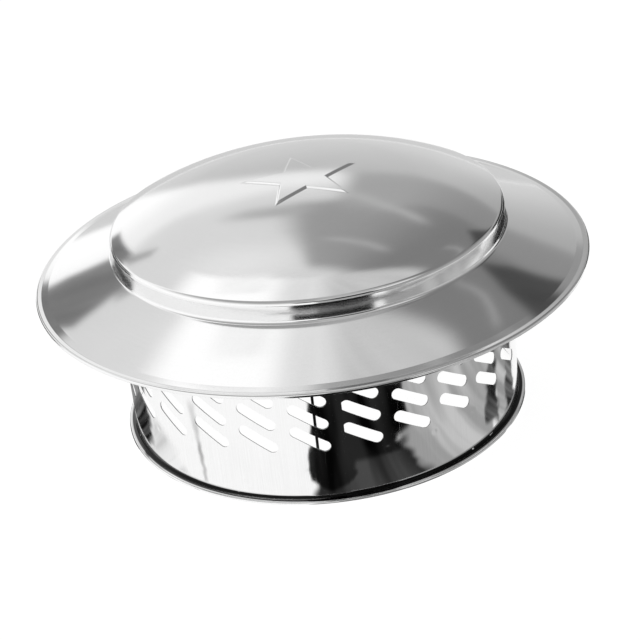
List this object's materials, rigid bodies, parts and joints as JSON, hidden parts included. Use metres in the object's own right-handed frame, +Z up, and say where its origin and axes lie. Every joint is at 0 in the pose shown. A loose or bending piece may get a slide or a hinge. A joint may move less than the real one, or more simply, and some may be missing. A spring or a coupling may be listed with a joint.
{
  "type": "chimney cap",
  "caption": "Round sheet-steel chimney cap: a shallow domed top with a sloping hemmed brim on a slotted collar that pushes over the end of a flue pipe.",
  "frame": {"origin": "on the cap's axis, in the plane that the collar's foot stands on", "axes": "+Z up along the axis, from the collar's foot to the crown; the collar's lap joint faces -Y, a little towards +X"},
  "size_m": [0.224, 0.224, 0.1007],
  "materials": {
    "satin_steel": "satin, spun in rings with soft radial sheen",
    "polished_steel": "bright rolled, nearly mirror, with faint upright rolling lines"
  },
  "bodies": {
    "root": {"cap": "satin_steel", "collar": "polished_steel"}
  },
  "joints": []
}
